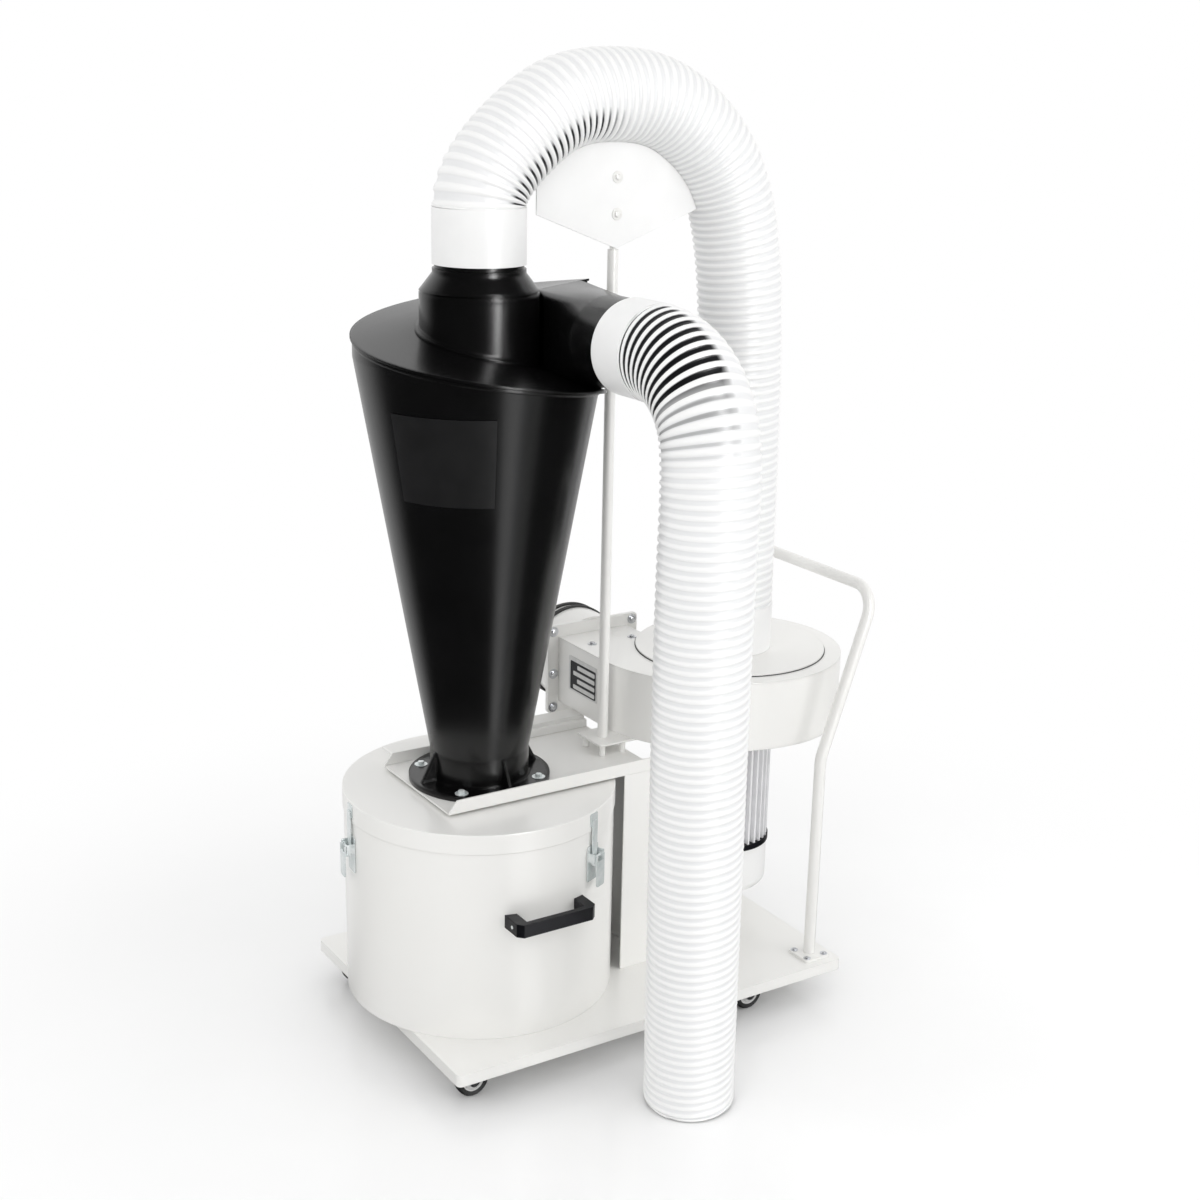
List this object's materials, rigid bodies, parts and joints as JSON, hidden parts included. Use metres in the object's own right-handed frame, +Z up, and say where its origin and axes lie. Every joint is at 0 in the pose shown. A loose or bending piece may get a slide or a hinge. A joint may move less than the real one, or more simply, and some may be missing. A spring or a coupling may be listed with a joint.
{
  "type": "mobile cyclone dust separator with blower and drum",
  "caption": "Mobile dust separator: black cyclone over a removable drum, ribbed hoses to a vertical-shaft blower, on a castor base.",
  "frame": {"origin": "on the floor, under the middle of the whole unit", "axes": "+Z up; the long side of the base runs along X with the cyclone and drum at -X and the blower and push handle at +X; the drum's handle and the suction hose face -Y and the blower's outlet +Y"},
  "size_m": [0.8583, 0.7505, 1.4464],
  "materials": {
    "cream_paint": "satin powder coat",
    "zinc_steel": "bright zinc",
    "black_rubber": "matt",
    "black_plastic": "satin",
    "plated_steel": "bright plated",
    "black_polymer": "satin moulded",
    "white_plastic": "satin",
    "hose_white": "ribbed, satin",
    "motor_grey": "satin",
    "cast_alloy": "as cast"
  },
  "bodies": {
    "root": {"base_plate": "cream_paint", "drum_wall": "cream_paint", "drum_bottom": "cream_paint", "drum_lid": "cream_paint", "column": "cream_paint", "drum_tray": "cream_paint", "blower_plate": "cream_paint", "support_pole": "cream_paint", "pole_post": "cream_paint", "hose_saddle": "cream_paint", "scroll_wall": "cream_paint", "scroll_top": "cream_paint", "scroll_bottom": "cream_paint", "inlet_plate": "cream_paint", "outlet_flange": "cream_paint", "outlet_collar": "cream_paint", "push_handle": "cream_paint", "handle_feet": "cream_paint", "castor_plates": "zinc_steel", "dust_seal": "black_rubber", "collar_bands": "black_rubber", "drum_handle": "black_plastic", "motor_ring": "black_plastic", "latch_bases": "plated_steel", "latch_hooks": "plated_steel", "latch_strikes": "plated_steel", "cyclone_cone": "black_polymer", "cyclone_roof": "black_polymer", "cyclone_outlet": "black_polymer", "cyclone_inlet": "black_polymer", "outlet_cuff": "white_plastic", "inlet_cuff": "white_plastic", "blower_cuff": "white_plastic", "motor_cap": "white_plastic", "loop_hose": "hose_white", "suction_hose": "hose_white", "motor_body": "motor_grey", "impeller": "cast_alloy"},
    "castor_front_left": {"castor_fork_front_left": "zinc_steel"},
    "wheel_front_left": {"castor_wheel_front_left": "black_rubber"},
    "castor_front_right": {"castor_fork_front_right": "zinc_steel"},
    "wheel_front_right": {"castor_wheel_front_right": "black_rubber"},
    "castor_back_left": {"castor_fork_back_left": "zinc_steel"},
    "wheel_back_left": {"castor_wheel_back_left": "black_rubber"},
    "castor_back_right": {"castor_fork_back_right": "zinc_steel"},
    "wheel_back_right": {"castor_wheel_back_right": "black_rubber"},
    "lever_front": {"latch_lever_front": "plated_steel"},
    "lever_back": {"latch_lever_back": "plated_steel"},
    "lever_side": {"latch_lever_side": "plated_steel"}
  },
  "joints": [
    {"name": "swivel_front_left", "type": "hinge", "parent": "root", "child": "castor_front_left", "pos_m": [-0.31985, -0.1015, 0.0586], "axis": [0, 0, 1], "continuous": true},
    {"name": "spin_front_left", "type": "hinge", "parent": "castor_front_left", "child": "wheel_front_left", "pos_m": [-0.33785, -0.1015, 0.025], "axis": [0, 1, 0], "continuous": true},
    {"name": "swivel_front_right", "type": "hinge", "parent": "root", "child": "castor_front_right", "pos_m": [0.17315, -0.1015, 0.0586], "axis": [0, 0, 1], "continuous": true},
    {"name": "spin_front_right", "type": "hinge", "parent": "castor_front_right", "child": "wheel_front_right", "pos_m": [0.15515, -0.1015, 0.025], "axis": [0, 1, 0], "continuous": true},
    {"name": "swivel_back_left", "type": "hinge", "parent": "root", "child": "castor_back_left", "pos_m": [-0.31985, 0.2845, 0.0586], "axis": [0, 0, 1], "continuous": true},
    {"name": "spin_back_left", "type": "hinge", "parent": "castor_back_left", "child": "wheel_back_left", "pos_m": [-0.33785, 0.2845, 0.025], "axis": [0, 1, 0], "continuous": true},
    {"name": "swivel_back_right", "type": "hinge", "parent": "root", "child": "castor_back_right", "pos_m": [0.17315, 0.2845, 0.0586], "axis": [0, 0, 1], "continuous": true},
    {"name": "spin_back_right", "type": "hinge", "parent": "castor_back_right", "child": "wheel_back_right", "pos_m": [0.15515, 0.2845, 0.025], "axis": [0, 1, 0], "continuous": true},
    {"name": "latch_front", "type": "hinge", "parent": "root", "child": "lever_front", "pos_m": [-0.11992, -0.08636, 0.318], "axis": [-0.9063, -0.4226, 0], "range_deg": [0, 120]},
    {"name": "latch_back", "type": "hinge", "parent": "root", "child": "lever_back", "pos_m": [-0.08779, 0.28082, 0.318], "axis": [0.8192, -0.5736, 0], "range_deg": [0, 120]},
    {"name": "latch_side", "type": "hinge", "parent": "root", "child": "lever_side", "pos_m": [-0.42184, 0.12505, 0.318], "axis": [0.0872, 0.9962, 0], "range_deg": [0, 120]}
  ]
}
